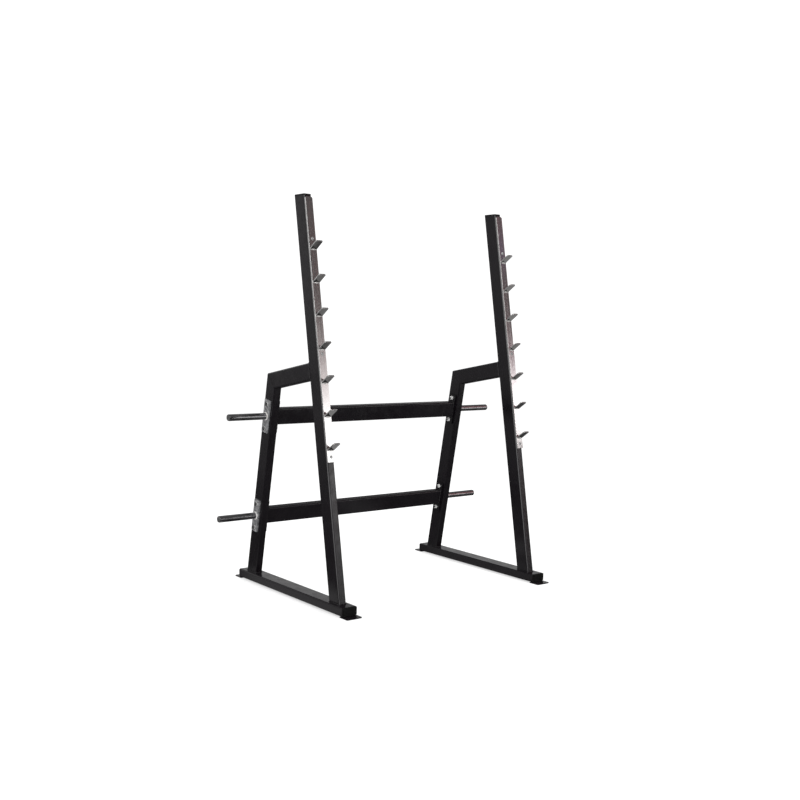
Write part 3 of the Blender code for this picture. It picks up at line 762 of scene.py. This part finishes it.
def hexagon(low, high, chamfers):
    """Shape a bolt head or nut between two heights, chamfered at the ends named in chamfers."""
    piece = rod(6, BOLT_ACROSS / 2 / cos(pi / 6), low, high)
    for sign in chamfers:
        blank = rod(48, BOLT_ACROSS / 2 / cos(pi / 6) + 0.0002, low, high)
        pick("FACE", faces(2, sign))
        bevel(BOLT_CHAMFER, 1)
        done()
        cut(piece, blank, "INTERSECT")
    return piece


def threaded_end(low, high):
    """Shape the thread that stands past the nut, as grooves from low down to high."""
    end = rod(32, BOLT_RADIUS, low, low + THREAD_STEP)
    height = low + THREAD_STEP
    while height < high:
        for scale in (THREAD_ROOT, 1 / THREAD_ROOT):
            pick("FACE", faces(2, 1))
            bpy.ops.mesh.extrude_region_move(TRANSFORM_OT_translate={"value": (0, 0, THREAD_STEP)})
            bpy.ops.transform.resize(value=(scale, scale, 1))
            done()
        height += 2 * THREAD_STEP
    return end


def make_through_bolts():
    """Set out the eight bolts, each with its head, washers, shank, nut and threaded end."""
    outer = TUBE_WIDTH / 2 + GAP + PLATE_THICKNESS + GAP
    washer_out = rod(40, WASHER_RADIUS, outer, outer + WASHER_THICKNESS)
    head = hexagon(outer + WASHER_THICKNESS, outer + WASHER_THICKNESS + BOLT_HEAD, (1,))
    washer_in = rod(40, WASHER_RADIUS, -outer - WASHER_THICKNESS, -outer)
    nut_low = -outer - WASHER_THICKNESS - BOLT_NUT
    nut = hexagon(nut_low, -outer - WASHER_THICKNESS, (-1,))
    shank = rod(32, BOLT_RADIUS, -outer, outer)
    only(shank)
    bpy.ops.object.shade_smooth_by_angle(angle=CREASE_ANGLE)
    tip = threaded_end(-nut_low - 0.001, -nut_low + BOLT_TIP - 2 * THREAD_STEP)
    only(tip)
    bpy.ops.object.shade_smooth_by_angle(angle=THREAD_ANGLE)
    tip.data.transform(Matrix.Rotation(pi, 4, "X"))
    for piece in (washer_out, head, washer_in, nut):
        soften(piece, BOLT_EDGE)
    for piece in (head, shank, tip):
        piece.data.materials.append(bolt_steel)
    for piece in (washer_out, washer_in, nut):
        piece.data.materials.append(fastener_zinc)
    bolt = join(head, washer_out, washer_in, nut, shank, tip)
    for side, sense in SIDES.items():
        for level in BEAM_HEIGHTS:
            for position, offset in BOLT_OFFSETS.items():
                place = (joint_place(side, level) @ Matrix.Translation((0, 0, offset))
                         @ sideways(sense) @ Matrix.Rotation(BOLT_TURNS[position], 4, "Z"))
                set_out(bolt, f"hexagon_bolt_{level}_{position}_{side}", place, None,
                        "zinc_fastener", f"bolt_{level}_{position}_{side}")
    bpy.data.objects.remove(bolt, do_unlink=True)


# Welds

def rounded_outline(width, depth, corner, steps=6):
    """Points of a rectangle with round corners about the origin, going round once."""
    points = []
    for turn, (sx, sy) in enumerate(((1, 1), (-1, 1), (-1, -1), (1, -1))):
        centre = Vector((sx * (width / 2 - corner), sy * (depth / 2 - corner), 0))
        for step in range(steps + 1):
            angle = (turn + step / steps) * pi / 2
            points.append(centre + Vector((cos(angle), sin(angle), 0)) * corner)
    return points


def lay_bead(name, points, closed, radius, finish, slot):
    """Lay a weld bead along points, swelling and shrinking with every dab of the torch."""
    path = list(points) + ([points[0]] if closed else [])
    samples = []
    travelled = 0.0
    for start, end in zip(path, path[1:]):
        length = (end - start).length
        count = max(1, round(length / BEAD_SPACING))
        for step in range(count):
            samples.append((start.lerp(end, step / count), travelled + length * step / count))
        travelled += length
    if not closed:
        samples.append((path[-1], travelled))
    curve = bpy.data.curves.new(name, "CURVE")
    curve.dimensions = "3D"
    curve.bevel_depth = radius
    curve.bevel_resolution = 2
    curve.use_fill_caps = not closed
    spline = curve.splines.new("POLY")
    spline.points.add(len(samples) - 1)
    spline.use_cyclic_u = closed
    for point, (place, distance) in zip(spline.points, samples):
        point.co = (*place, 1.0)
        point.radius = 1 + sum(height * sin(distance * 2 * pi / length + phase)
                               for height, length, phase in BEAD_RIPPLES)
        if not closed:
            reach = min(distance, travelled - distance) / (2.5 * radius)
            point.radius *= min(1.0, 0.35 + 0.65 * reach)
    bead = bpy.data.objects.new(name, curve)
    bpy.context.scene.collection.objects.link(bead)
    only(bead)
    bpy.ops.object.convert(target="MESH")
    bead = bpy.context.object
    bpy.ops.object.shade_smooth()
    hand_over(bead, name, finish, slot)


def placed(points, place):
    """Move points to a place."""
    return [place @ point for point in points]


def weld_frames():
    """Lay the coated beads of the side frames and beams."""
    for side, sense in SIDES.items():
        feet = {"front": (FRONT_FACE_Y, 1, FRONT_LEAN), "rear": (REAR_FACE_Y, -1, REAR_LEAN)}
        for end, (face, inward, lean) in feet.items():
            depth = TUBE_DEPTH / cos(lean)
            ring = rounded_outline(TUBE_WIDTH + BEAD_SPREAD, depth + BEAD_SPREAD, TUBE_CORNER)
            place = Matrix.Translation((sense * FRAME_CENTRE, face + inward * depth / 2,
                                        BASE_TOP + BEAD_RISE))
            lay_bead(f"weld_{end}_upright_foot_{side}", placed(ring, place), True, FRAME_BEAD, coat,
                     "black_powder_coat")
        for level in BEAM_HEIGHTS:
            ring = rounded_outline(TUBE_DEPTH + BEAD_SPREAD, TUBE_WIDTH + BEAD_SPREAD, TUBE_CORNER)
            face = joint_place(side, level) @ Matrix.Translation(
                (-sense * (TUBE_WIDTH / 2 + GAP + PLATE_THICKNESS + BEAD_RISE), 0, 0))
            lay_bead(f"weld_beam_{level}_{side}", placed(ring, face @ sideways(-sense)), True,
                     FRAME_BEAD, coat, "black_powder_coat")


def weld_links():
    """Lay the bead where each link meets its front upright. The one at the mitre is ground flush."""
    for side in SIDES:
        front = front_place(side).to_3x3()
        forward = -(front @ Vector((0, 1, 0)))
        down = -(front @ Vector((0, 0, 1)))
        rear = rear_place(side)
        up = rear.to_3x3() @ Vector((0, 0, 1))
        outer = rear.translation + up * (REAR_CORNER_HEIGHT - BASE_TOP) / up.z
        face = front_place(side) @ Vector((0, TUBE_DEPTH, 0))
        reach = (face - outer).dot(forward)
        middle = outer + forward * reach + down * TUBE_DEPTH / 2
        turn = front.to_4x4() @ Matrix.Rotation(pi / 2, 4, "X")
        ring = rounded_outline(TUBE_WIDTH - BEAD_SPREAD, TUBE_DEPTH + BEAD_SPREAD, TUBE_CORNER)
        lay_bead(f"weld_link_front_{side}", placed(ring, Matrix.Translation(middle) @ turn), True,
                 LINK_BEAD, coat, "black_powder_coat")


def weld_hooks():
    """Lay a fillet in the corner under the root of each hook, light grey as a painted highlight."""
    tilt = (pi / 2 - HOOK_RISE) / 2
    out = GAP + RAIL_THICKNESS - HOOK_BEAD_SINK * cos(tilt)
    rise = HOOK_BEAD_SINK * sin(tilt)
    half = HOOK_WIDTH / 2 - 0.001
    for side in SIDES:
        for index in range(HOOK_COUNT):
            ends = [Vector((sense * half, -out, hook_height(index) + rise)) for sense in (-1, 1)]
            lay_bead(f"weld_hook_{index + 1}_{side}", placed(ends, front_place(side)), False,
                     HOOK_BEAD, fillet_steel_and_highlight, "brushed_steel")


def weld_pegs():
    """Lay a bead round the root of each peg."""
    ring = [Vector((cos(step * pi / 24), sin(step * pi / 24), 0)) * (PEG_RADIUS + PEG_BEAD_RISE)
            for step in range(48)]
    out = TUBE_WIDTH / 2 + GAP + PLATE_THICKNESS + PEG_BEAD_RISE
    for side, sense in SIDES.items():
        for level in BEAM_HEIGHTS:
            place = joint_place(side, level) @ Matrix.Translation((sense * out, 0, 0)) @ sideways(sense)
            # The bead's near-white colour is a painted highlight.
            lay_bead(f"weld_peg_{level}_{side}", placed(ring, place), True, PEG_BEAD, weld_steel_and_highlight,
                     "polished_steel")


# Studio

def studio_floor():
    """Plain white floor, which gloss on the rack mirrors as a dark one with lighter patches."""
    bpy.ops.object.select_all(action="DESELECT")
    bpy.ops.mesh.primitive_plane_add(size=FLOOR_SIZE, location=(0, 0, 0))
    floor = bpy.context.object
    floor.name = "studio_floor"
    material = bpy.data.materials.new("studio_white")
    material.use_nodes = True
    tree = material.node_tree
    tree.nodes.clear()
    output = tree.nodes.new("ShaderNodeOutputMaterial")
    lit = tree.nodes.new("ShaderNodeBsdfDiffuse")
    lit.inputs["Color"].default_value = (FLOOR_WHITE, FLOOR_WHITE, FLOOR_WHITE, 1)
    glow = tree.nodes.new("ShaderNodeEmission")
    glow.inputs["Strength"].default_value = FLOOR_GLOW
    white = tree.nodes.new("ShaderNodeAddShader")
    tree.links.new(lit.outputs[0], white.inputs[0])
    tree.links.new(glow.outputs[0], white.inputs[1])
    mirrored = tree.nodes.new("ShaderNodeEmission")
    place = tree.nodes.new("ShaderNodeTexCoord")
    length = tree.nodes.new("ShaderNodeVectorMath")
    length.operation = "LENGTH"
    tree.links.new(place.outputs["Object"], length.inputs[0])
    far = tree.nodes.new("ShaderNodeMapRange")
    far.interpolation_type = "SMOOTHSTEP"
    far.inputs["From Min"].default_value, far.inputs["From Max"].default_value = FLOOR_FADE
    far.inputs["To Min"].default_value = FLOOR_NEAR
    far.inputs["To Max"].default_value = FLOOR_FAR
    tree.links.new(length.outputs["Value"], far.inputs["Value"])
    strength = far.outputs["Result"]
    for centre, reach, brightness in FLOOR_PATCHES:
        centred = tree.nodes.new("ShaderNodeVectorMath")
        centred.operation = "SUBTRACT"
        centred.inputs[1].default_value = (*centre, 0)
        tree.links.new(place.outputs["Object"], centred.inputs[0])
        scaled = tree.nodes.new("ShaderNodeVectorMath")
        scaled.operation = "DIVIDE"
        scaled.inputs[1].default_value = (*reach, 1)
        tree.links.new(centred.outputs["Vector"], scaled.inputs[0])
        radius = tree.nodes.new("ShaderNodeVectorMath")
        radius.operation = "LENGTH"
        tree.links.new(scaled.outputs["Vector"], radius.inputs[0])
        patch = tree.nodes.new("ShaderNodeMapRange")
        patch.interpolation_type = "SMOOTHSTEP"
        patch.inputs["From Min"].default_value, patch.inputs["From Max"].default_value = PATCH_FADE
        patch.inputs["To Max"].default_value = brightness
        tree.links.new(radius.outputs["Value"], patch.inputs["Value"])
        both = tree.nodes.new("ShaderNodeMath")
        tree.links.new(strength, both.inputs[0])
        tree.links.new(patch.outputs["Result"], both.inputs[1])
        strength = both.outputs["Value"]
    tree.links.new(strength, mirrored.inputs["Strength"])
    path = tree.nodes.new("ShaderNodeLightPath")
    mix = tree.nodes.new("ShaderNodeMixShader")
    tree.links.new(path.outputs["Is Glossy Ray"], mix.inputs[0])
    tree.links.new(white.outputs[0], mix.inputs[1])
    tree.links.new(mirrored.outputs[0], mix.inputs[2])
    tree.links.new(mix.outputs[0], output.inputs["Surface"])
    floor.data.materials.append(material)


def studio_light():
    """White room light, in which gloss mirrors plain walls and the brighter parts of the room."""
    world = bpy.data.worlds.new("studio")
    world.use_nodes = True
    tree = world.node_tree
    direction = tree.nodes.new("ShaderNodeTexCoord").outputs["Generated"]
    height = tree.nodes.new("ShaderNodeSeparateXYZ")
    tree.links.new(direction, height.inputs[0])
    flat = tree.nodes.new("ShaderNodeVectorMath")
    flat.operation = "MULTIPLY"
    flat.inputs[1].default_value = (1, 1, 0)
    tree.links.new(direction, flat.inputs[0])
    level = tree.nodes.new("ShaderNodeVectorMath")
    level.operation = "NORMALIZE"
    tree.links.new(flat.outputs["Vector"], level.inputs[0])
    total = None
    for way, full, edge, stops in ROOM_PARTS:
        across = tree.nodes.new("ShaderNodeVectorMath")
        across.operation = "DOT_PRODUCT"
        across.inputs[1].default_value = (sin(radians(way)), -cos(radians(way)), 0)
        tree.links.new(level.outputs["Vector"], across.inputs[0])
        window = tree.nodes.new("ShaderNodeMapRange")
        window.interpolation_type = "SMOOTHSTEP"
        window.inputs["From Min"].default_value = cos(radians(edge))
        window.inputs["From Max"].default_value = cos(radians(full))
        tree.links.new(across.outputs["Value"], window.inputs["Value"])
        ramp = tree.nodes.new("ShaderNodeValToRGB")
        elements = ramp.color_ramp.elements
        while len(elements) < len(stops):
            elements.new(1.0)
        for element, (degrees_up, colour) in zip(elements, stops):
            element.position = (sin(radians(degrees_up)) + 1) / 2
            element.color = (*colour, 1)
        rise = tree.nodes.new("ShaderNodeMapRange")
        rise.inputs["From Min"].default_value = -1
        tree.links.new(height.outputs["Z"], rise.inputs["Value"])
        tree.links.new(rise.outputs["Result"], ramp.inputs["Fac"])
        part = tree.nodes.new("ShaderNodeVectorMath")
        part.operation = "MULTIPLY_ADD"
        part.inputs[2].default_value = (WALL, WALL, WALL)
        tree.links.new(ramp.outputs["Color"], part.inputs[0])
        tree.links.new(window.outputs["Result"], part.inputs[1])
        if total:
            tree.links.new(total, part.inputs[2])
        total = part.outputs["Vector"]
    glossy = tree.nodes.new("ShaderNodeLightPath").outputs["Is Glossy Ray"]
    seen = tree.nodes.new("ShaderNodeMix")
    seen.data_type = "VECTOR"
    plain, mirrored = [socket for socket in seen.inputs if socket.type == "VECTOR"][-2:]
    plain.default_value = (ROOM_LIGHT, ROOM_LIGHT, ROOM_LIGHT)
    tree.links.new(glossy, seen.inputs["Factor"])
    tree.links.new(total, mirrored)
    result = [socket for socket in seen.outputs if socket.type == "VECTOR"][0]
    tree.links.new(result, tree.nodes["Background"].inputs["Color"])
    bpy.context.scene.world = world


def soft_box(name, location, target, size, power):
    """Add a square soft light that points at a target and is seen neither itself nor in gloss."""
    bpy.ops.object.select_all(action="DESELECT")
    bpy.ops.object.light_add(type="AREA", location=location)
    light = bpy.context.object
    light.name = name
    light.data.size = size
    light.data.energy = power
    light.rotation_euler = (Vector(target) - Vector(location)).to_track_quat("-Z", "Y").to_euler()
    light.visible_camera = False
    light.visible_glossy = False


def photo_camera():
    """Camera at the photograph's place, with its lens and slight roll."""
    data = bpy.data.cameras.new("photo_camera")
    data.sensor_width = 36.0
    data.lens = CAMERA_LENS
    data.shift_y = CAMERA_SHIFT
    data.clip_end = 200.0
    camera = bpy.data.objects.new("photo_camera", data)
    camera.matrix_world = (Matrix.Translation(CAMERA_PLACE)
                           @ Matrix.Rotation(CAMERA_WAY, 4, "Z")
                           @ Matrix.Rotation(pi / 2 - CAMERA_DIP, 4, "X")
                           @ Matrix.Rotation(CAMERA_ROLL, 4, "Z"))
    bpy.context.scene.collection.objects.link(camera)
    bpy.context.scene.camera = camera


work_frames()
make_rails_and_hooks()
make_rail_screws()
make_pegs()
make_through_bolts()
weld_frames()
weld_links()
weld_hooks()
weld_pegs()
studio_floor()
studio_light()
soft_box("top_light", location=(0.4, 0.6, 4.6), target=(0, 0, 0.8), size=4.5, power=110)
photo_camera()
bpy.context.scene.view_settings.view_transform = "Standard"
